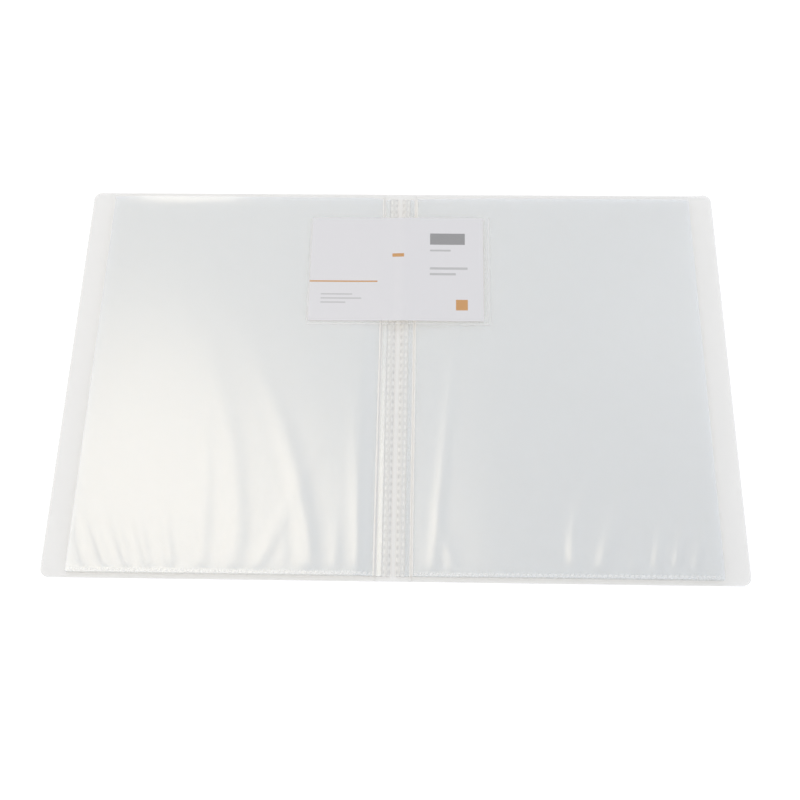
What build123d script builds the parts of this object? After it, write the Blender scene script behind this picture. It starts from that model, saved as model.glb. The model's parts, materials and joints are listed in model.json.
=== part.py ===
"""Clear pocket display book for A4 sheets, lying open at its middle, inside up.

One creased cover sheet carries two blocks of welded film pockets, and a label card in a clear
sleeve lies across the gutter. Millimetres. X runs across the spread, Y from the bottom of the
pages to their open tops, Z up. The origin is under the middle of the spine, on the table.
The front half is on the left, at negative X, and the back half on the right.
"""

from build123d import *
import os

# Sheet that a pocket holds
sheet_width = 210.0
sheet_height = 297.0

# Pockets: two films welded at the bottom and both sides, open at the top
pockets_per_side = 20
film = 0.05
pocket_slit = 0.12
side_weld = 1.5
bottom_weld = 3.0
sheet_play = 0.6
pocket_lip = 4.0
rest_gap = 0.04

# Seams: the pockets' inner margins, welded together in two rows of dots on each side
seam_gap = 3.8
seam_width = 5.8
dot_width = 1.6
dot_length = 3.2
dot_pitch = 5.8
dot_row_spacing = 3.4
dot_depth = 0.5
margin_play = 0.1

# Cover: one sheet, creased on both sides of the spine
cover_sheet = 0.5
cover_corner = 6.0
crease_gap = 0.3
fore_edge_overhang = 18.5
foot_overhang = 3.3
head_overhang = 6.0
closing_play = 0.61

# Label card in its clear sleeve, folded over the gutter
card = 0.2
card_width = 133.0
card_height = 90.0
card_left_play = 0.2
card_right_play = 3.8
card_play = 0.05
card_seat = 3.0
sleeve_film = 0.05
sleeve_weld = 1.0
sleeve_headroom = 0.5
sleeve_from_top = 25.0
fold_gap = 0.1

# Height of the line that pages turn about, above the label
turn_clearance = 0.8

# Sizes that follow from those above
pocket_thickness = 2 * film + pocket_slit
pocket_pitch = pocket_thickness + rest_gap
pocket_width = sheet_width + 2 * sheet_play + 2 * side_weld
pocket_height = sheet_height + bottom_weld + pocket_lip
stack_floor = cover_sheet + rest_gap
stack_top = stack_floor + pockets_per_side * pocket_pitch - rest_gap

sleeve_width = card_width + card_left_play + card_right_play + 2 * sleeve_weld
sleeve_slit = card + 2 * card_play
sleeve_thickness = 2 * sleeve_film + sleeve_slit
sleeve_height = card_seat + card_height + sleeve_headroom
left_wing_floor = stack_top + rest_gap
right_wing_floor = left_wing_floor + sleeve_thickness + rest_gap

turn_x = (seam_gap + seam_width) / 2
turn_z = right_wing_floor + sleeve_thickness + turn_clearance
crease_x = turn_x + turn_z - stack_floor + cover_sheet / 2 + closing_play
crease_z = cover_sheet / 2
pocket_inner = crease_x + crease_gap
pocket_outer = pocket_inner + pocket_width
cover_width = pocket_outer + fore_edge_overhang - crease_x
cover_height = pocket_height + foot_overhang + head_overhang

seam_inner = seam_gap / 2
seam_outer = seam_inner + seam_width
seam_height = pockets_per_side * 2 * film
seam_top = cover_sheet + seam_height
dots_per_row = int((pocket_height - dot_length) / dot_pitch)

pocket_bottom = foot_overhang - cover_height / 2
pocket_middle = pocket_bottom + pocket_height / 2
sleeve_top = cover_height / 2 - sleeve_from_top
sleeve_bottom = sleeve_top - sleeve_height
card_bottom = sleeve_bottom + card_seat
card_left = sleeve_weld + card_left_play - sleeve_width / 2
card_right = card_left + card_width

FRONT = -1
BACK = 1

os.makedirs("parts", exist_ok=True)


def write(piece, name):
    """Labels a finished piece and writes it under its own name."""
    piece.label = name
    export_step(piece, f"parts/{name}.step")


def slab(x_from, x_to, y_from, y_to, floor, thickness):
    """A flat rectangular sheet between two X and two Y lines, standing on a floor height."""
    with BuildPart() as sheet:
        with BuildSketch(Plane.XY.offset(floor)):
            with Locations(((x_from + x_to) / 2, (y_from + y_to) / 2)):
                Rectangle(abs(x_to - x_from), y_to - y_from)
        extrude(amount=thickness)
    return sheet.part


def bundle(slabs):
    """Keeps sheets that touch as separate solids of one piece."""
    return Compound([solid for sheet in slabs for solid in sheet.solids()])


# Spine and the two cover boards, cut apart at the creases
write(slab(crease_gap - crease_x, crease_x - crease_gap,
           -cover_height / 2, cover_height / 2, 0, cover_sheet), "spine_panel")


def cover_board(side, name):
    """One cover board, from its crease to the fore-edge, with rounded outer corners."""
    with BuildPart() as board:
        with BuildSketch():
            with Locations((side * (crease_x + (crease_gap + cover_width) / 2), 0)):
                Rectangle(cover_width - crease_gap, cover_height)
            fillet(vertices().group_by(Axis.X)[-1 if side == BACK else 0], cover_corner)
        extrude(amount=cover_sheet)
    write(board.part, name)


cover_board(FRONT, "front_cover")
cover_board(BACK, "back_cover")


def weld_seam(side, name):
    """The fused inner margins of one block, standing on the spine, dented by two rows of weld dots."""
    with BuildPart() as seam:
        with BuildSketch(Plane.XY.offset(cover_sheet)):
            with Locations((side * turn_x, pocket_middle)):
                Rectangle(seam_width, pocket_height)
        extrude(amount=seam_height)
        with BuildSketch(Plane.XY.offset(seam_top)):
            with Locations((side * turn_x, pocket_middle)):
                with GridLocations(dot_row_spacing, dot_pitch, 2, dots_per_row):
                    Rectangle(dot_width, dot_length)
        extrude(amount=-dot_depth, mode=Mode.SUBTRACT)
    write(seam.part, name)


weld_seam(FRONT, "front_weld_seam")
weld_seam(BACK, "back_weld_seam")


def margin(side, name):
    """The loose margins between a seam and its pockets, lying together as one tapered strip."""
    near = side * (seam_outer + margin_play)
    far = side * (pocket_inner - margin_play)
    with BuildPart() as strip:
        with BuildSketch(Plane.XZ.offset(-pocket_middle)):
            with BuildLine():
                Polyline(
                    (near, stack_floor),
                    (far, stack_floor),
                    (far, stack_top),
                    (near, seam_top),
                    close=True,
                )
            make_face()
        extrude(amount=pocket_height / 2, both=True)
    write(strip.part, name)


margin(FRONT, "front_margin")
margin(BACK, "back_margin")


def pocket(side, floor, name):
    """One clear pocket: back film, front film, and the welds at its bottom and sides."""
    inner = side * pocket_inner
    outer = side * pocket_outer
    inner_weld = side * (pocket_inner + side_weld)
    outer_weld = side * (pocket_outer - side_weld)
    top = pocket_bottom + pocket_height
    weld_top = pocket_bottom + bottom_weld
    slit_floor = floor + film
    write(bundle([
        slab(inner, outer, pocket_bottom, top, floor, film),
        slab(inner, outer, pocket_bottom, top, slit_floor + pocket_slit, film),
        slab(inner, outer, pocket_bottom, weld_top, slit_floor, pocket_slit),
        slab(inner, inner_weld, weld_top, top, slit_floor, pocket_slit),
        slab(outer_weld, outer, weld_top, top, slit_floor, pocket_slit),
    ]), name)


# Pockets are numbered from the front cover to the back cover
for level in range(pockets_per_side):
    pocket_floor = stack_floor + level * pocket_pitch
    pocket(FRONT, pocket_floor, f"pocket_{level + 1:02d}")
    pocket(BACK, pocket_floor, f"pocket_{2 * pockets_per_side - level:02d}")


# Label card, in a wing on each side and a strip over the gutter
fold_left = fold_gap - turn_x
fold_right = turn_x - fold_gap
wing_left = -turn_x - fold_gap
wing_right = turn_x + fold_gap
card_top = card_bottom + card_height
card_lift = sleeve_film + card_play
write(slab(card_left, wing_left, card_bottom, card_top, left_wing_floor + card_lift, card),
      "label_left_wing")
write(slab(fold_left, fold_right, card_bottom, card_top, left_wing_floor + card_lift, card),
      "label_middle")
write(slab(wing_right, card_right, card_bottom, card_top, right_wing_floor + card_lift, card),
      "label_right_wing")


def sleeve_panel(x_from, x_to, floor, edge, name):
    """A panel of the label's sleeve: two films, the bottom weld and, on a wing, the weld at its edge."""
    weld_top = sleeve_bottom + sleeve_weld
    slit_floor = floor + sleeve_film
    slabs = [
        slab(x_from, x_to, sleeve_bottom, sleeve_top, floor, sleeve_film),
        slab(x_from, x_to, sleeve_bottom, sleeve_top, slit_floor + sleeve_slit, sleeve_film),
        slab(x_from, x_to, sleeve_bottom, weld_top, slit_floor, sleeve_slit),
    ]
    if edge:
        edge_x = edge * sleeve_width / 2
        slabs.append(slab(edge_x, edge_x - edge * sleeve_weld, weld_top, sleeve_top,
                          slit_floor, sleeve_slit))
    write(bundle(slabs), name)


sleeve_panel(-sleeve_width / 2, wing_left, left_wing_floor, FRONT, "sleeve_left_wing")
sleeve_panel(fold_left, fold_right, left_wing_floor, 0, "sleeve_middle")
sleeve_panel(wing_right, sleeve_width / 2, right_wing_floor, BACK, "sleeve_right_wing")

print(f"open book {2 * (crease_x + cover_width):.1f} x {cover_height:.1f} x "
      f"{right_wing_floor + sleeve_thickness:.2f} mm")
print(f"covers crease at x {crease_x:.3f}, z {crease_z:.3f}")
print(f"pockets turn about x {turn_x:.3f}, z {turn_z:.3f}, top of a block {stack_top:.3f}")
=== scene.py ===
# %% [markdown]
# # A clear pocket display book, open at its middle
# The real book is a sheet of satin plastic, creased twice, with forty clear film pockets welded to its
# spine in two blocks. Nearly everything on it is see-through, so its look is made of thin layers: where
# films overlap they turn milky, where they ripple they catch the light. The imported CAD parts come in
# first, as a fixed frame, and every soft piece is then laid out in the same metres.

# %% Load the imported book
import json
import math

import bpy
import numpy as np
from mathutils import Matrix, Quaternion, Vector


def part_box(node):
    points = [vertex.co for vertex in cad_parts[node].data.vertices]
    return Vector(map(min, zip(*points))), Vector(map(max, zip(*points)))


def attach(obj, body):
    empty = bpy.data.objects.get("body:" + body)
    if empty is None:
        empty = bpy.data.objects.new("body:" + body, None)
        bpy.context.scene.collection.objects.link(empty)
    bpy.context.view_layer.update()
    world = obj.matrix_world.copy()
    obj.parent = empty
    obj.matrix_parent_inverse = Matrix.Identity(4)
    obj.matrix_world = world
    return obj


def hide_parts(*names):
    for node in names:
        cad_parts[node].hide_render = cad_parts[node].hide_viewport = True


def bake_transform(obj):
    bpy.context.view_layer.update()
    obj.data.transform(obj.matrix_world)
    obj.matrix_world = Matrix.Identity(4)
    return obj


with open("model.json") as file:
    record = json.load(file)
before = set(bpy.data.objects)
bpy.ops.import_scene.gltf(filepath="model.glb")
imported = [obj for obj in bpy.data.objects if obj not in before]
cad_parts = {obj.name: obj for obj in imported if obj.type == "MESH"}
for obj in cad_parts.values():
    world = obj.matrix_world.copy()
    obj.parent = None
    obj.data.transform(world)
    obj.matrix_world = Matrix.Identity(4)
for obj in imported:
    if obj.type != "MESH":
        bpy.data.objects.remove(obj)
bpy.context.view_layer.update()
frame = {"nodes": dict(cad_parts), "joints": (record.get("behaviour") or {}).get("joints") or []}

MM = 0.001
LEFT = -1
RIGHT = 1
pocket_names = sorted(name for name in frame["nodes"] if name.startswith("pocket_"))
PER_SIDE = len(pocket_names) // 2
pages = {LEFT: pocket_names[:PER_SIDE], RIGHT: pocket_names[:PER_SIDE - 1:-1]}
half_names = {LEFT: "front", RIGHT: "back"}

pocket_low, pocket_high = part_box(pages[RIGHT][0])
seam_low, seam_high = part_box("back_weld_seam")
_, spine_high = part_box("spine_panel")
pocket_height = pocket_high.y - pocket_low.y
level_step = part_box(pages[RIGHT][1])[0].z - pocket_low.z
print(f"{PER_SIDE} pockets a side, {level_step / MM:.2f} mm apart, from {pocket_low.x / MM:.1f} to "
      f"{pocket_high.x / MM:.1f} mm from the spine")

# %% [markdown]
# ## Meshes from grids of points
# A film, a card or a cover board is a thin sheet, so one recipe serves them all: work out a grid of
# points for its upper face and one for its lower face, as whole arrays, and join the two along their
# border. A pocket leaves the wall out along its mouth. Doing this with arrays keeps every sheet on the
# same grid, and sheets that share a grid can be stacked without ever crossing.


# %% Turn two grids into one sheet
def between(value, low, high):
    """Smooth climb from 0 at low to 1 at high."""
    t = np.clip((value - low) / (high - low), 0, 1)
    return t * t * (3 - 2 * t)


def stack_grids(x, y, upper, lower):
    """Points of two height fields over the same grid of x and y, upper first."""
    return np.stack([np.stack([x, y, upper], -1), np.stack([x, y, lower], -1)])


def sheet_quads(points, walls="WSEN"):
    """Quads for two stacked grids: upper face, lower face and a wall along each named border.

    W is the first column of the grid, S its first row, E its last column and N its last row.
    """
    rows, columns = points.shape[1:3]
    count = rows * columns
    index = np.arange(count).reshape(rows, columns)
    upper = np.stack([index[:-1, :-1], index[:-1, 1:], index[1:, 1:], index[1:, :-1]], -1).reshape(-1, 4)
    borders = {"W": index[::-1, 0], "S": index[0], "E": index[:, -1], "N": index[-1, ::-1]}
    quads = [upper, upper[:, ::-1] + count]
    for wall in walls:
        line = borders[wall]
        quads.append(np.stack([line[:-1] + count, line[1:] + count, line[1:], line[:-1]], -1))
    quads = np.concatenate(quads)
    across = points[0, 0, 1, 0] - points[0, 0, 0, 0]
    return quads if across > 0 else quads[:, ::-1]


def border_points(points):
    """True for the points along the border of both grids."""
    inner = np.ones(points.shape[:3], bool)
    inner[:, 1:-1, 1:-1] = False
    return inner


def make_piece(name, points, quads, uv, finish, fused=None, crisp=None):
    """A smooth-shaded mesh object at the origin, with one UV pair for each point.

    The fused values mark how far each point belongs to a weld. Edges between crisp points stay sharp.
    """
    mesh = bpy.data.meshes.new(name)
    mesh.from_pydata(points.reshape(-1, 3).tolist(), [], quads.tolist())
    layer = mesh.uv_layers.new(name="sheet")
    layer.data.foreach_set("uv", uv.reshape(-1, 2)[quads.ravel()].astype(np.float32).ravel())
    mesh.shade_smooth()
    if fused is not None:
        values = mesh.attributes.new("fused", "FLOAT", "POINT")
        values.data.foreach_set("value", fused.astype(np.float32).ravel())
    if crisp is not None:
        ends = np.empty(2 * len(mesh.edges), np.int32)
        mesh.edges.foreach_get("vertices", ends)
        hard = mesh.attributes.new("sharp_edge", "BOOLEAN", "EDGE")
        hard.data.foreach_set("value", crisp.ravel()[ends.reshape(-1, 2)].all(1))
    mesh.materials.append(finish)
    piece = bpy.data.objects.new(name, mesh)
    bpy.context.scene.collection.objects.link(piece)
    return piece


# %% [markdown]
# ## Shared shader groups
# Two effects are used over and over. One is a rectangle with soft edges, measured on a piece's own UV map
# in metres: every printed bar on the label is one. The other is a fine grain, which breaks up the gloss of
# the cover, the weld seams and the card. Each is a node group with named sockets, so a finish only states
# its own sizes.

# %% Rectangle and grain groups
FLOAT = "NodeSocketFloat"
VECTOR = "NodeSocketVector"


def new_group(name, inputs, outputs):
    """An empty shader group with the given sockets, its input node and its output node."""
    group = bpy.data.node_groups.new(name, "ShaderNodeTree")
    for socket, kind, default in inputs:
        made = group.interface.new_socket(name=socket, in_out="INPUT", socket_type=kind)
        if default is not None:
            made.default_value = default
    for socket, kind in outputs:
        group.interface.new_socket(name=socket, in_out="OUTPUT", socket_type=kind)
    return group, group.nodes.new("NodeGroupInput"), group.nodes.new("NodeGroupOutput")


def calculate(tree, operation, first, second):
    """A Math node's result, from two sockets or plain numbers."""
    node = tree.nodes.new("ShaderNodeMath")
    node.operation = operation
    for socket, value in zip(node.inputs, (first, second)):
        if isinstance(value, (int, float)):
            socket.default_value = value
        else:
            tree.links.new(value, socket)
    return node.outputs[0]


def soft_step(tree, value, edge, blur):
    """Climbs smoothly from 0 to 1 as value passes edge, over twice blur."""
    node = tree.nodes.new("ShaderNodeMapRange")
    node.interpolation_type = "SMOOTHSTEP"
    tree.links.new(value, node.inputs["Value"])
    tree.links.new(calculate(tree, "SUBTRACT", edge, blur), node.inputs["From Min"])
    tree.links.new(calculate(tree, "ADD", edge, blur), node.inputs["From Max"])
    return node.outputs["Result"]


rectangle_group, ends, result = new_group(
    "Soft rectangle",
    [("Place", VECTOR, None), ("Left", FLOAT, 0.0), ("Right", FLOAT, 0.1), ("Bottom", FLOAT, 0.0),
     ("Top", FLOAT, 0.1), ("Blur", FLOAT, 0.0002)],
    [("Mask", FLOAT)],
)
split = rectangle_group.nodes.new("ShaderNodeSeparateXYZ")
rectangle_group.links.new(ends.outputs["Place"], split.inputs[0])
sides = []
for axis, low_edge, high_edge in (("X", "Left", "Right"), ("Y", "Bottom", "Top")):
    blur_socket = ends.outputs["Blur"]
    inside = soft_step(rectangle_group, split.outputs[axis], ends.outputs[low_edge], blur_socket)
    beyond = soft_step(rectangle_group, split.outputs[axis], ends.outputs[high_edge], blur_socket)
    sides.append(calculate(rectangle_group, "SUBTRACT", inside, beyond))
rectangle_group.links.new(calculate(rectangle_group, "MULTIPLY", *sides), result.inputs["Mask"])

grain_group, ends, result = new_group(
    "Fine grain", [("Place", VECTOR, None), ("Scale", FLOAT, 900.0)], [("Height", FLOAT)])
grain_noise = grain_group.nodes.new("ShaderNodeTexNoise")
grain_noise.inputs["Detail"].default_value = 2.0
grain_group.links.new(ends.outputs["Place"], grain_noise.inputs["Vector"])
grain_group.links.new(ends.outputs["Scale"], grain_noise.inputs["Scale"])
grain_group.links.new(grain_noise.outputs["Fac"], result.inputs["Height"])
print("shader groups:", [group.name for group in bpy.data.node_groups])


# %% Small helpers for finishes
def new_finish(name, color, roughness, alpha):
    """A new material with plain values on its Principled shader, its node tree and that shader."""
    finish = bpy.data.materials.new(name)
    finish.use_nodes = True
    tree = finish.node_tree
    shader = tree.nodes["Principled BSDF"]
    shader.inputs["Base Color"].default_value = (*color, 1.0)
    shader.inputs["Roughness"].default_value = roughness
    shader.inputs["Alpha"].default_value = alpha
    return finish, tree, shader


def own_uv(tree):
    """The piece's own UV map, in metres."""
    node = tree.nodes.new("ShaderNodeUVMap")
    node.uv_map = "sheet"
    return node.outputs["UV"]


def own_fused(tree):
    """The piece's own weld values, 0 on plain film and 1 in a weld."""
    node = tree.nodes.new("ShaderNodeAttribute")
    node.attribute_name = "fused"
    return node.outputs["Fac"]


def rectangle(tree, place, left, right, bottom, top, blur):
    """Mask of one soft rectangle, given by its four edges in metres."""
    node = tree.nodes.new("ShaderNodeGroup")
    node.node_tree = rectangle_group
    tree.links.new(place, node.inputs["Place"])
    edges = {"Left": left, "Right": right, "Bottom": bottom, "Top": top, "Blur": blur}
    for socket, value in edges.items():
        node.inputs[socket].default_value = value
    return node.outputs["Mask"]


def grain(tree, shader, place, scale, strength, depth):
    """Bumps the shader's normal with a fine grain."""
    node = tree.nodes.new("ShaderNodeGroup")
    node.node_tree = grain_group
    tree.links.new(place, node.inputs["Place"])
    node.inputs["Scale"].default_value = scale
    bump = tree.nodes.new("ShaderNodeBump")
    bump.inputs["Strength"].default_value = strength
    bump.inputs["Distance"].default_value = depth
    tree.links.new(node.outputs["Height"], bump.inputs["Height"])
    tree.links.new(bump.outputs["Normal"], shader.inputs["Normal"])
    return node.outputs["Height"]


def mix_value(tree, mask, low, high):
    """A number that goes from low to high with a mask."""
    node = tree.nodes.new("ShaderNodeMapRange")
    tree.links.new(mask, node.inputs["Value"])
    node.inputs["To Min"].default_value = low
    node.inputs["To Max"].default_value = high
    return node.outputs["Result"]


def mix_color(tree, mask, low, high):
    """A colour that goes from low, a colour or a socket, to high with a mask."""
    node = tree.nodes.new("ShaderNodeMix")
    node.data_type = "RGBA"
    tree.links.new(mask, node.inputs["Factor"])
    for socket, value in ((node.inputs[6], low), (node.inputs[7], high)):
        if isinstance(value, tuple):
            socket.default_value = (*value, 1.0)
        else:
            tree.links.new(value, socket)
    return node.outputs[2]


# %% [markdown]
# ## The cover sheet
# The cover is half a millimetre of polypropylene with a satin grain. It lets about half of the light
# through, so a part-clear Alpha over the pale floor does more for it than any colour. A faint grain in
# the normal spreads its gloss.


# %% Cover finish
COVER_COLOR = (0.97, 0.965, 0.955)
COVER_ALPHA = 0.42
COVER_ROUGHNESS = (0.36, 0.50)


def cover_finish():
    """Milky satin sheet, whose roughness follows its grain."""
    finish, tree, shader = new_finish("cover sheet", COVER_COLOR, COVER_ROUGHNESS[0], COVER_ALPHA)
    place = tree.nodes.new("ShaderNodeTexCoord").outputs["Object"]
    height = grain(tree, shader, place, 1100.0, 0.12, 0.05 * MM)
    tree.links.new(mix_value(tree, height, *COVER_ROUGHNESS), shader.inputs["Roughness"])
    return finish


cover_sheet = cover_finish()
print(cover_sheet.name, "lets", 1 - COVER_ALPHA, "of the light through")

# %% [markdown]
# ## Cover boards
# A board is flat but for its outer edge, which turns up a little where no pages hold it down. Its outline
# is a rectangle whose two outer corners are quarter circles, so each row of the grid runs from the crease
# to an outer edge that draws in near the corners.

# %% Build the boards and the creases
CORNER = 6 * MM
EDGE_EASE = 12 * MM
EDGE_CURL = {LEFT: 0.3 * MM, RIGHT: 1.1 * MM}
CREASE_DISH = 0.33


def board_rows(low, high):
    """Heights of the grid's rows, closer together round the two corners."""
    quarter = CORNER * (1 - np.cos(np.linspace(0, math.pi / 2, 9)))
    return np.concatenate([low + quarter, np.linspace(low + CORNER, high - CORNER, 30)[1:-1],
                           (high - quarter)[::-1]])


def cover_board(side):
    """Each row runs from the crease to the outline x = edge - r + sqrt(r^2 - overshoot^2).

    The last centimetre turns up with the square of its distance past the flat part.
    """
    node = f"{half_names[side]}_cover"
    low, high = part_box(node)
    y = board_rows(low.y, high.y)[:, None]
    middle = (low.y + high.y) / 2
    overshoot = np.clip(np.abs(y - middle) - ((high.y - low.y) / 2 - CORNER), 0, CORNER)
    crease = min(abs(low.x), abs(high.x))
    edge = max(abs(low.x), abs(high.x)) - CORNER + np.sqrt(CORNER ** 2 - overshoot ** 2)
    flat = np.linspace(0, 1, 24)[None, :-1]
    turned = np.linspace(0, 1, 14)[None, :]
    d = np.concatenate([crease + (edge - EDGE_EASE - crease) * flat, edge - EDGE_EASE * (1 - turned)], 1)
    curl = EDGE_CURL[side] * np.clip(1 - (edge - d) / EDGE_EASE, 0, 1) ** 2
    y = np.broadcast_to(y, d.shape)
    points = stack_grids(side * d, y, high.z + curl, low.z + curl)
    uv = np.stack([points[..., 0], points[..., 1]], -1)
    piece = make_piece(f"{half_names[side]}_board", points, sheet_quads(points), uv, cover_sheet,
                       crisp=border_points(points))
    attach(piece, node)
    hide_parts(node)
    return piece


def crease_web(side):
    """A thin strip across the gap at a crease, dished to a third of the sheet at its middle."""
    board_low, board_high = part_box(f"{half_names[side]}_cover")
    inner = spine_high.x
    outer = min(abs(board_low.x), abs(board_high.x))
    d = np.linspace(inner, outer, 9)[None, :]
    y = np.linspace(board_low.y, board_high.y, 12)[:, None]
    sheet = board_high.z - board_low.z
    dish = CREASE_DISH * sheet * np.sin(math.pi * (d - inner) / (outer - inner))
    d, y, dish = np.broadcast_arrays(d, y, dish)
    points = stack_grids(side * d, y, board_high.z - dish, board_low.z + dish)
    uv = np.stack([points[..., 0], points[..., 1]], -1)
    piece = make_piece(f"{half_names[side]}_crease", points, sheet_quads(points), uv, cover_sheet,
                       crisp=border_points(points))
    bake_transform(piece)
    return piece


for side in (LEFT, RIGHT):
    board = cover_board(side)
    web = crease_web(side)
    print(board.name, len(board.data.polygons), "faces;", web.name, len(web.data.polygons), "faces")
frame["nodes"]["spine_panel"].data.materials.clear()
frame["nodes"]["spine_panel"].data.materials.append(cover_sheet)

# %% [markdown]
# ## The pocket film
# Each pocket is clear film a twentieth of a millimetre thick. One film is nearly invisible, and forty of
# them together look like frosted glass, so the finish has a very low Alpha and leaves the milkiness to the
# stack. Where two films are fused they are whiter. The welds are marked by a value on every point of the
# film.

# %% Film finish
SIDE_WELD = 1.5 * MM
BOTTOM_WELD = 3.0 * MM
FILM_COLOR = (0.89, 0.92, 0.95)
WELD_COLOR = (0.97, 0.97, 0.97)
FILM_ALPHA = 0.10
WELD_ALPHA = 0.45
FILM_ROUGHNESS = 0.24
WELD_ROUGHNESS = 0.5
FILM_GLOSS = 0.8


def film_finish():
    """Clear glossy film with milky welds that shine less."""
    finish, tree, shader = new_finish("pocket film", FILM_COLOR, FILM_ROUGHNESS, FILM_ALPHA)
    shader.inputs["Specular IOR Level"].default_value = FILM_GLOSS
    fused = own_fused(tree)
    tree.links.new(mix_value(tree, fused, FILM_ALPHA, WELD_ALPHA), shader.inputs["Alpha"])
    tree.links.new(mix_color(tree, fused, FILM_COLOR, WELD_COLOR), shader.inputs["Base Color"])
    tree.links.new(mix_value(tree, fused, FILM_ROUGHNESS, WELD_ROUGHNESS), shader.inputs["Roughness"])
    return finish


pocket_film = film_finish()
print(f"{pocket_film.name}: a pocket's two films let {(1 - FILM_ALPHA) ** 2:.2f} of the light through")

# %% [markdown]
# ## Folds in the film
# Limp film never lies flat. The pockets are stiff along their bottom weld and slack above it, so folds
# start at the weld and fade as they climb. A cloth simulation of forty films would take far too long, and
# would not keep them in order, so the folds are a formula: every fold is a bell-shaped ridge across the
# page, whose crest drifts and curves as it climbs. Folds only ever add height. A pocket lies on the one
# below it and adds its own folds on top, so the films of a block follow each other and can't cross.

# %% The grid of a page and its folds
LIFT = 6 * MM
FOLDS = {
    # crest at the weld, drift, curve per millimetre, half width, height and reach.
    # All are in millimetres but the drift.
    LEFT: np.array([
        [110.0, -0.02, 0.0012, 8.0, 0.78, 112.0],
        [96.0, -0.44, 0.0, 6.0, 0.62, 60.0],
        [57.0, 0.10, 0.0012, 7.0, 0.92, 108.0],
        [22.5, 0.06, 0.0, 5.0, 0.55, 108.0],
        [40.0, 0.0, 0.0, 4.0, 0.42, 28.0],
        [75.0, 0.05, 0.0, 3.6, 0.38, 24.0],
        [133.0, 0.03, 0.0, 6.0, 0.72, 80.0],
        [153.0, 0.22, 0.0, 4.0, 0.85, 34.0],
        [168.0, 0.32, 0.0, 3.6, 0.92, 34.0],
        [182.0, 0.38, 0.0, 3.8, 0.90, 40.0],
        [197.0, 0.42, 0.0, 3.8, 0.92, 42.0],
        [212.0, 0.34, 0.0, 3.4, 0.78, 28.0],
    ]),
    RIGHT: np.array([
        [27.0, 0.09, 0.0, 4.0, 0.55, 185.0],
        [43.0, -0.28, 0.0, 4.0, 0.50, 34.0],
        [126.0, -0.16, 0.0050, 5.0, 1.50, 58.0],
        [142.5, 0.16, 0.003, 5.0, 1.75, 48.0],
        [165.0, 0.10, 0.0, 3.4, 1.10, 24.0],
        [179.5, 0.10, 0.003, 3.4, 1.65, 42.0],
        [193.0, 0.14, 0.003, 3.3, 1.70, 40.0],
        [206.0, 0.16, 0.004, 3.2, 1.70, 34.0],
    ]),
}
SMALL_FOLDS = 10
LIP = {LEFT: 1.1 * MM, RIGHT: 0.2 * MM}
LIP_DEPTH = 9 * MM
LIP_MIDDLE = 165 * MM
LIP_HALF = 48 * MM
WELD_RIDGE = 0.30 * MM
RIDGE_MIDDLE = 0.45 * MM
RIDGE_HALF = 0.35 * MM

seam_edge = seam_high.x
inner_edge = pocket_low.x
outer_edge = pocket_high.x
column_d = np.concatenate([
    np.linspace(seam_edge, inner_edge, 11)[:-1],
    inner_edge + np.array([0, 0.2, 0.45, 0.7, 1.0]) * MM,
    np.linspace(inner_edge + SIDE_WELD, outer_edge - SIDE_WELD, 136),
    outer_edge - np.array([0.8, 0.2, 0]) * MM])
row_v = np.concatenate([
    np.array([0, 0.2, 1.5]) * MM,
    BOTTOM_WELD + (pocket_height - 8 * MM - BOTTOM_WELD) * np.linspace(0, 1, 46) ** 1.5,
    pocket_height - np.array([6, 4, 2.5, 1.2, 0]) * MM])
page_d, page_v = np.meshgrid(column_d, row_v)
inside_page = between(page_d, inner_edge + SIDE_WELD, inner_edge + 5 * SIDE_WELD) * between(
    outer_edge - page_d, 0.5 * MM, 3 * SIDE_WELD)
print(f"a film is a grid of {len(row_v)} x {len(column_d)} points")


def fold_heights(folds):
    """Sum of ridges: a bell across the page times a climb from the weld that fades with height."""
    crest, drift, curve, width, height, reach = (folds[:, k, None, None] for k in range(6))
    across = (page_d - crest * MM - drift * page_v - curve / MM * page_v ** 2) / (width * MM)
    climb = 1 - np.exp(-np.maximum(page_v - BOTTOM_WELD, 0) / LIFT)
    fade = np.exp(-(page_v / (reach * MM)) ** 2)
    return (height * MM * np.exp(-across ** 2) * climb * fade).sum(0) * inside_page


def small_folds(random):
    """A pocket's own little folds, scattered along its bottom weld."""
    crest = random.uniform(18, 224, SMALL_FOLDS)
    drift = random.uniform(-0.35, 0.35, SMALL_FOLDS)
    width = random.uniform(3.0, 5.0, SMALL_FOLDS)
    height = random.uniform(0.01, 0.04, SMALL_FOLDS)
    reach = random.uniform(14, 36, SMALL_FOLDS)
    return np.stack([crest, drift, np.zeros(SMALL_FOLDS), width, height, reach], -1)


def shared_rise(side):
    """What the whole block shares: main folds, a lip at the mouth and the ridge of the inner welds.

    The lip curls up with the square of the distance, and both lip and ridge are bells across the page.
    """
    curl = np.clip(1 - (pocket_height - page_v) / LIP_DEPTH, 0, 1) ** 2
    lip = LIP[side] * curl * np.exp(-((page_d - LIP_MIDDLE) / LIP_HALF) ** 4)
    ridge = WELD_RIDGE * np.exp(-((page_d - inner_edge - RIDGE_MIDDLE) / RIDGE_HALF) ** 2)
    return fold_heights(FOLDS[side]) + lip + ridge
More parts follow.
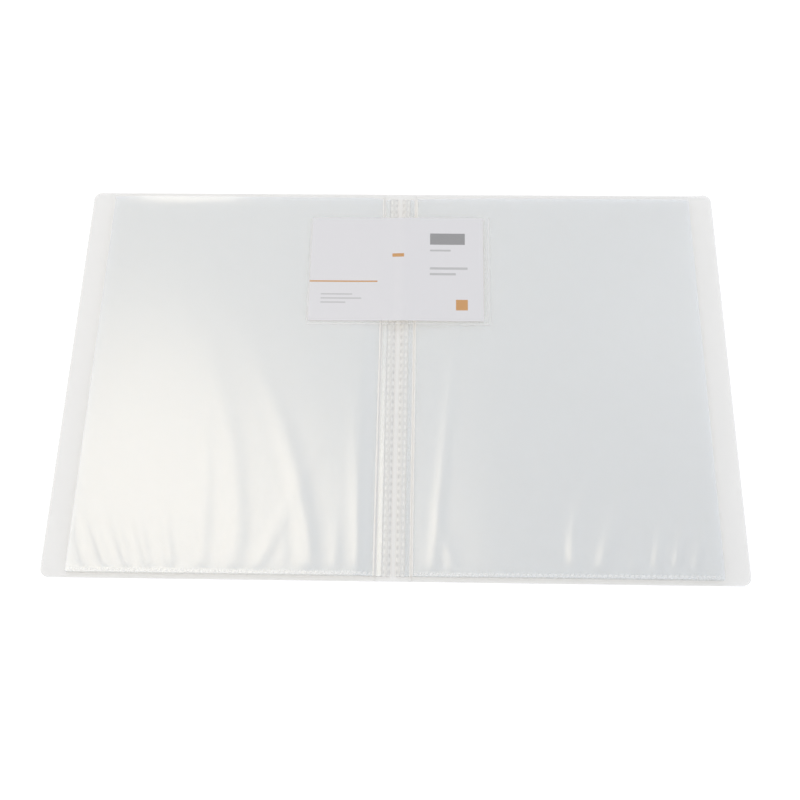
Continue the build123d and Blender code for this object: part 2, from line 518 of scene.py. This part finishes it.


# %% [markdown]
# ## Forty pockets
# A pocket is one bag: a back film, a front film and an open mouth at the top. The stack is thinner beside
# the gutter, where the welds hold the films together, and thickens over the next few centimetres. Each
# pocket's inner margin runs on past the weld, down to the seam on the spine. That margin is where a real
# page bends when it is turned. The bottom weld is a row of short pressed dots, made as real little pads on
# the front film.

# %% Build the pockets
FILM_GAP = 0.10 * MM
POCKET_GAP = 0.22 * MM
GUTTER_SHARE = 0.55
GUTTER_EASE = {LEFT: 13 * MM, RIGHT: 70 * MM}
MARGIN_SAG = 0.4 * MM
MARGIN_DROP = 1.0 * MM
PAD_PITCH = 3.7 * MM
PAD_HALF = (1.05 * MM, 0.8 * MM)
PAD_FUSED = 0.5


def stack_share(side, d):
    """How much of its full height the stack has at a distance from the spine."""
    return GUTTER_SHARE + (1 - GUTTER_SHARE) * between(d, inner_edge, inner_edge + GUTTER_EASE[side])


def weld_pads(side, level):
    """Pads on the bottom weld: each is a flat-topped dot on a small grid of its own."""
    middles = np.arange(inner_edge + 3 * MM, outer_edge - 2 * MM, PAD_PITCH)[:, None, None]
    s, t = np.meshgrid([-1, -0.6, 0.6, 1], [-1, -0.6, 0.6, 1])
    share = stack_share(side, middles)
    rise = 0.5 * (level_step - FILM_GAP) * share * (np.maximum(np.abs(s), np.abs(t)) < 1)
    d = middles + PAD_HALF[0] * s
    v = np.broadcast_to(BOTTOM_WELD / 2 + PAD_HALF[1] * t, d.shape)
    z = pocket_low.z + (level * level_step + FILM_GAP) * share + rise
    points = np.stack([side * d, pocket_low.y + v, np.broadcast_to(z, d.shape)], -1).reshape(-1, 3)
    one = np.arange(s.size).reshape(s.shape)
    quads = np.stack([one[:-1, :-1], one[:-1, 1:], one[1:, 1:], one[1:, :-1]], -1).reshape(-1, 4)
    quads = (quads + s.size * np.arange(len(middles))[:, None, None]).reshape(-1, 4)
    return points, quads if side > 0 else quads[:, ::-1], np.stack([d, v], -1).reshape(-1, 2)


def pocket_piece(side, level, lift):
    """A bag on the page grid: back film at the pocket's floor plus lift, front film a gap above it.

    Inside the inner weld both films drop to a margin that sags a little before it meets the seam.
    """
    name = pages[side][level]
    share = stack_share(side, page_d)
    seat = seam_low.z + level * (seam_high.z - seam_low.z) / PER_SIDE
    floor = pocket_low.z + level * level_step * share
    sag = MARGIN_SAG * level / PER_SIDE * between(page_d, seam_edge, inner_edge - MARGIN_DROP)
    back = seat - sag + (floor - seat + sag) * between(page_d, inner_edge - MARGIN_DROP, inner_edge) + lift
    slack = inside_page * between(page_v, BOTTOM_WELD, 3 * BOTTOM_WELD)
    front = back + (FILM_GAP + (POCKET_GAP - FILM_GAP) * slack) * share
    points = stack_grids(side * page_d, pocket_low.y + page_v, front, back)
    quads = sheet_quads(points, "WSE")
    uv = np.broadcast_to(np.stack([page_d, page_v], -1), (2, *page_d.shape, 2))
    fused = np.broadcast_to(np.abs(page_d - inner_edge + 0.1 * MM) < 1.0 * MM, (2, *page_d.shape))
    pad_points, pad_quads, pad_uv = weld_pads(side, level)
    quads = np.concatenate([quads, pad_quads + fused.size])
    points = np.concatenate([points.reshape(-1, 3), pad_points])
    uv = np.concatenate([uv.reshape(-1, 2), pad_uv])
    fused = np.concatenate([fused.ravel(), np.full(len(pad_points), PAD_FUSED)])
    piece = make_piece(f"{name}_film", points, quads, uv, pocket_film, fused)
    piece.visible_shadow = False
    if side == LEFT:
        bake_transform(piece)
    else:
        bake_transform(piece)
    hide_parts(name)
    return piece


for side in (LEFT, RIGHT):
    random = np.random.default_rng(40 + side)
    shared = shared_rise(side) / PER_SIDE
    lift = np.zeros_like(page_d)
    for level in range(PER_SIDE):
        lift = lift + shared + fold_heights(small_folds(random))
        pocket_piece(side, level, lift)
    print(f"{half_names[side]} block: folds rise to {lift.max() / MM:.2f} mm")

# %% [markdown]
# ## Weld seams and the film between them and the pages
# On the spine the pockets' margins are fused into two seams by two rows of hot dots each. Pressed film
# bulges between the dots, so the seam is a height field: a flat strip that dips at every dot. A last strip
# of film lies flat on top of each seam.

# %% Seam finish and pieces
DOT_PITCH = 5.8 * MM
DOT_ROWS = 3.4 * MM
DOT_HALF = (0.85 * MM, 1.75 * MM)
DOT_DEPTH = 0.45 * MM
GUTTER_DROP = 1.1 * MM
GUTTER_ROUND = 1.4 * MM
SEAM_COLOR = (0.86, 0.86, 0.85)
DOT_COLOR = (1.0, 1.0, 0.99)
SEAM_ALPHA = 0.80
SEAM_ROUGHNESS = (0.16, 0.36)


def seam_finish():
    """Fused film: milky between the dots, white in them, glossy and slightly uneven."""
    finish, tree, shader = new_finish("weld seam", SEAM_COLOR, SEAM_ROUGHNESS[0], SEAM_ALPHA)
    place = tree.nodes.new("ShaderNodeTexCoord").outputs["Object"]
    height = grain(tree, shader, place, 700.0, 0.25, 0.1 * MM)
    tree.links.new(mix_value(tree, height, *SEAM_ROUGHNESS), shader.inputs["Roughness"])
    tree.links.new(mix_color(tree, own_fused(tree), SEAM_COLOR, DOT_COLOR), shader.inputs["Base Color"])
    return finish


weld_film = seam_finish()


def dot_pattern(across, along):
    """1 in a dot and 0 outside: a product of two soft pulses, the second repeated along the seam."""
    nearest_row = np.abs(np.abs(across) - DOT_ROWS / 2)
    nearest_dot = np.abs((along / DOT_PITCH + 0.5) % 1 - 0.5) * DOT_PITCH
    return (1 - between(nearest_row, 0.55 * DOT_HALF[0], 1.3 * DOT_HALF[0])) * (
        1 - between(nearest_dot, 0.7 * DOT_HALF[1], 1.2 * DOT_HALF[1]))


def seam_piece(side):
    """A strip standing on the spine: its height less a round-off at the gutter and a dip at every dot."""
    node = f"{half_names[side]}_weld_seam"
    low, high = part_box(node)
    d = np.linspace(seam_low.x, seam_high.x, 25)[None, :]
    y = np.linspace(low.y, high.y, 530)[:, None]
    dots = dot_pattern(d - (seam_low.x + seam_high.x) / 2, y - low.y)
    d, y = np.broadcast_arrays(d, y)
    round_off = GUTTER_DROP * (1 - between(d, seam_low.x, seam_low.x + GUTTER_ROUND))
    points = stack_grids(side * d, y, high.z - round_off - DOT_DEPTH * dots, np.full(d.shape, low.z))
    uv = np.stack([points[..., 0], points[..., 1]], -1)
    piece = make_piece(f"{half_names[side]}_seam", points, sheet_quads(points), uv, weld_film,
                       np.stack([dots, np.zeros_like(dots)]), border_points(points))
    piece.visible_shadow = False
    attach(piece, "spine")
    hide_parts(node)
    return piece


MARGIN_REACH = 0.3 * MM
MARGIN_CLEAR = 0.10 * MM
MARGIN_FILM = 0.05 * MM


def margin_film(side):
    """A flat film from the middle of the seam to just past its outer edge, clear of the dots."""
    node = f"{half_names[side]}_margin"
    d = np.linspace((seam_low.x + seam_high.x) / 2, seam_high.x + MARGIN_REACH, 14)[None, :]
    y = np.linspace(seam_low.y, seam_high.y, 40)[:, None]
    d, y = np.broadcast_arrays(d, y)
    above = np.full(d.shape, seam_high.z + MARGIN_CLEAR)
    points = stack_grids(side * d, y, above + MARGIN_FILM, above)
    uv = np.stack([points[..., 0], points[..., 1]], -1)
    piece = make_piece(f"{half_names[side]}_margin_film", points, sheet_quads(points), uv, pocket_film,
                       np.zeros(points.shape[:3]), border_points(points))
    piece.visible_shadow = False
    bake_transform(piece)
    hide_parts(node)
    return piece


for side in (LEFT, RIGHT):
    print(seam_piece(side).name, margin_film(side).name)

# %% [markdown]
# ## The label in its sleeve
# A folded card lies across the gutter in a clear sleeve. It is one card, bowed a little where it bridges
# the gutter, but its wings turn with the top pages, so it is made in three pieces that meet at the folds.
# The print is a plain design of bars and a rule, marked on the UV map in metres. The card's back lies a
# metre off on that map, so it stays blank when a wing is turned over.

# %% Card and sleeve finishes
card_low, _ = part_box("label_left_wing")
GREY = (0.30, 0.30, 0.31)
PALE_GREY = (0.55, 0.55, 0.56)
ORANGE = (0.63, 0.31, 0.08)
CARD_COLOR = (0.80, 0.795, 0.82)
CARD_ROUGHNESS = 0.38
INK_BLUR = 0.1 * MM
SLEEVE_COLOR = (0.90, 0.905, 0.92)
SLEEVE_ROUGHNESS = 0.16
SLEEVE_ALPHA = 0.08
SLEEVE_WELD_ALPHA = 0.35
PRINT = [
    # left, right, bottom, top in millimetres from the card's lower left corner, and the ink
    (0, 52, 33.0, 34.2, ORANGE),
    (9, 33, 22.0, 23.0, PALE_GREY),
    (9, 40, 18.5, 19.5, PALE_GREY),
    (9, 28, 15.0, 16.0, PALE_GREY),
    (63.0, 72.0, 55.0, 58.0, ORANGE),
    (92, 119, 66.0, 76.0, GREY),
    (92, 108, 60.0, 61.6, PALE_GREY),
    (92, 121, 44.0, 46.0, PALE_GREY),
    (92, 112, 39.0, 41.0, PALE_GREY),
    (112, 121, 9.0, 18.0, ORANGE),
]


def card_finish():
    """White coated card with flat printed bars."""
    finish, tree, shader = new_finish("label card", CARD_COLOR, CARD_ROUGHNESS, 1.0)
    place = own_uv(tree)
    color = CARD_COLOR
    for left, right, bottom, top, ink in PRINT:
        mask = rectangle(tree, place, left * MM, right * MM, bottom * MM, top * MM, INK_BLUR)
        color = mix_color(tree, mask, color, ink)
    tree.links.new(color, shader.inputs["Base Color"])
    grain(tree, shader, place, 1500.0, 0.08, 0.03 * MM)
    return finish


def sleeve_finish():
    """The sleeve's clear film, whiter along its welds."""
    finish, tree, shader = new_finish("label sleeve", SLEEVE_COLOR, SLEEVE_ROUGHNESS, SLEEVE_ALPHA)
    alpha = mix_value(tree, own_fused(tree), SLEEVE_ALPHA, SLEEVE_WELD_ALPHA)
    tree.links.new(alpha, shader.inputs["Alpha"])
    return finish


label_card = card_finish()
label_sleeve = sleeve_finish()
print(label_card.name, "with", len(PRINT), "printed bars, in a", label_sleeve.name)

# %% Build the label
BOW = 0.6 * MM
BOW_WIDTH = 20 * MM
WELD_PINCH = 0.15
SLEEVE_WELD = 1.0 * MM
BLANK_BACK = 1.0
FOLD_X = next(-joint["pos_m"][0] for joint in frame["joints"] if joint["name"] == "label_left_fold")


def label_height(x, left, right):
    """Height across the gutter: from the left wing's to the right wing's, plus a bell-shaped bow."""
    return left + (right - left) * between(x, -FOLD_X, FOLD_X) + BOW * np.exp(-(x / BOW_WIDTH) ** 2)


def grid_lines(low, high, count):
    """Even grid lines, with a few more just inside both ends."""
    near = np.array([0.15, 0.5, 1.0, 1.6, 2.8]) * MM
    return np.unique(np.concatenate([np.linspace(low, high, count), low + near, high - near]))


def label_panel(kind, part, body, x_from, x_to, welded):
    """A panel of the card or the sleeve between two x lines, as a sheet that follows the label's height.

    The sleeve's two films draw together towards its welded borders.
    """
    node = f"{kind}_{part}"
    low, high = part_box(node)
    left_low, left_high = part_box(f"{kind}_left_wing")
    right_low, right_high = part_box(f"{kind}_right_wing")
    x, y = np.meshgrid(grid_lines(x_from, x_to, 30), grid_lines(low.y, high.y, 24))
    top = label_height(x, left_high.z, right_high.z)
    bottom = label_height(x, left_low.z, right_low.z)
    place = np.stack([x - card_low.x, y - card_low.y], -1)
    uv = np.stack([place, place - BLANK_BACK])
    if kind == "label":
        points = stack_grids(x, y, top, bottom)
        piece = make_piece(f"{node}_sheet", points, sheet_quads(points), uv, label_card,
                           crisp=border_points(points))
        piece.visible_shadow = False
    else:
        from_weld = np.min([np.full(x.shape, 1.0)] + [
            {"W": x - x_from, "S": y - low.y, "E": x_to - x}[border] for border in welded], 0)
        half = (top - bottom) / 2 * (WELD_PINCH + (1 - WELD_PINCH) * between(
            from_weld, 0.5 * SLEEVE_WELD, 1.1 * SLEEVE_WELD))
        points = stack_grids(x, y, (top + bottom) / 2 + half, (top + bottom) / 2 - half)
        fused = np.broadcast_to(1 - between(from_weld, 0.8 * SLEEVE_WELD, SLEEVE_WELD), points.shape[:3])
        piece = make_piece(f"{node}_sheet", points, sheet_quads(points, welded), uv, label_sleeve, fused)
        piece.visible_shadow = False
    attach(piece, body)
    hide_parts(node)
    return piece


for kind in ("label", "sleeve"):
    ends = (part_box(f"{kind}_left_wing")[0].x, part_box(f"{kind}_right_wing")[1].x)
    for part, body, x_from, x_to, welded in (
            ("left_wing", "label_left", ends[0], -FOLD_X, "WS"),
            ("middle", "spine", -FOLD_X, FOLD_X, "S"),
            ("right_wing", "label_right", FOLD_X, ends[1], "SE")):
        print(label_panel(kind, part, body, x_from, x_to, welded).name, "rides on", body)

# %% [markdown]
# ## Floor, light and camera
# The book lies on a white table under soft studio light. The floor is a pale matt surface that gives off a
# little light of its own where it is seen directly, so it reads white and still takes the book's shadow.
# One big warm softbox behind the left page puts the sheen on its folds, and a weak one far to the right
# lifts the other edge. The sky around is cool and even. The camera looks down on the spread at about 67
# degrees, from a place worked out from the four edges of the cover.

# %% Floor and sky
FLOOR_SIZE = 4.0
FLOOR_DROP = 0.2 * MM
FLOOR_COLOR = (0.82, 0.82, 0.82)
FLOOR_GLOW = 0.42
SKY_COLOR = (0.615, 0.645, 0.695)
WHITE = (1.0, 1.0, 1.0)


def seen_directly(tree):
    """1 for rays from the camera, from gloss and through glass, 0 for the rays that light the scene."""
    path = tree.nodes.new("ShaderNodeLightPath")
    either = calculate(tree, "MAXIMUM", path.outputs["Is Camera Ray"], path.outputs["Is Glossy Ray"])
    return calculate(tree, "MAXIMUM", either, path.outputs["Is Transmission Ray"])


def floor_finish():
    """Matt pale floor, lifted to white where the camera sees it."""
    finish, tree, shader = new_finish("floor", FLOOR_COLOR, 1.0, 1.0)
    shader.inputs["Specular IOR Level"].default_value = 0.0
    shader.inputs["Emission Color"].default_value = (*WHITE, 1.0)
    tree.links.new(mix_value(tree, seen_directly(tree), 0.0, FLOOR_GLOW), shader.inputs["Emission Strength"])
    return finish


half = FLOOR_SIZE / 2
floor_corners = [(-half, -half), (half, -half), (half, half), (-half, half)]
floor_mesh = bpy.data.meshes.new("floor")
floor_mesh.from_pydata([(x, y, -FLOOR_DROP) for x, y in floor_corners], [], [(0, 1, 2, 3)])
floor_mesh.materials.append(floor_finish())
floor = bpy.data.objects.new("floor", floor_mesh)
bpy.context.scene.collection.objects.link(floor)

world = bpy.data.worlds.new("studio")
bpy.context.scene.world = world
world.use_nodes = True
sky = world.node_tree.nodes["Background"]
world.node_tree.links.new(
    mix_color(world.node_tree, seen_directly(world.node_tree), SKY_COLOR, WHITE), sky.inputs["Color"])
print("floor", FLOOR_SIZE, "m wide under a plain sky")


# %% Softboxes and camera
def softbox(name, place, aim, size, power, color):
    """A square area light turned to face a point."""
    lamp = bpy.data.lights.new(name, "AREA")
    lamp.shape = "SQUARE"
    lamp.size = size
    lamp.energy = power
    lamp.color = color
    item = bpy.data.objects.new(name, lamp)
    item.location = place
    item.rotation_mode = "QUATERNION"
    item.rotation_quaternion = (Vector(aim) - Vector(place)).to_track_quat("-Z", "Y")
    bpy.context.scene.collection.objects.link(item)


softbox("window", (-0.70, 0.42, 2.0), (-0.14, -0.08, 0), 0.9, 11.2, (1.0, 0.87, 0.67))
softbox("fill", (1.10, 0.90, 1.6), (0.15, 0.0, 0), 1.0, 2.5, WHITE)

IMAGE_SIDE = 800
FOCAL_PIXELS = 1094.6
AIM = Vector((0.00254, -0.02097, 0.0))
AZIMUTH = math.radians(-3.34)
ELEVATION = math.radians(67.32)
DISTANCE = 0.8066
ROLL = math.radians(-2.52)

camera_data = bpy.data.cameras.new("camera")
camera = bpy.data.objects.new("camera", camera_data)
bpy.context.scene.collection.objects.link(camera)
bpy.context.scene.camera = camera
camera_data.sensor_width = 36.0
camera_data.lens = FOCAL_PIXELS / IMAGE_SIDE * camera_data.sensor_width
look = Vector((math.sin(AZIMUTH) * math.cos(ELEVATION), math.cos(AZIMUTH) * math.cos(ELEVATION),
               -math.sin(ELEVATION)))
camera.location = AIM - DISTANCE * look
camera.rotation_mode = "QUATERNION"
camera.rotation_quaternion = look.to_track_quat("-Z", "Y") @ Quaternion((0, 0, 1), ROLL)
camera_data.clip_start = 0.01

scene = bpy.context.scene
scene.view_settings.view_transform = "Standard"
scene.cycles.transparent_max_bounces = 200
print(f"lens of {camera_data.lens:.1f} mm, {DISTANCE} m from the spread")
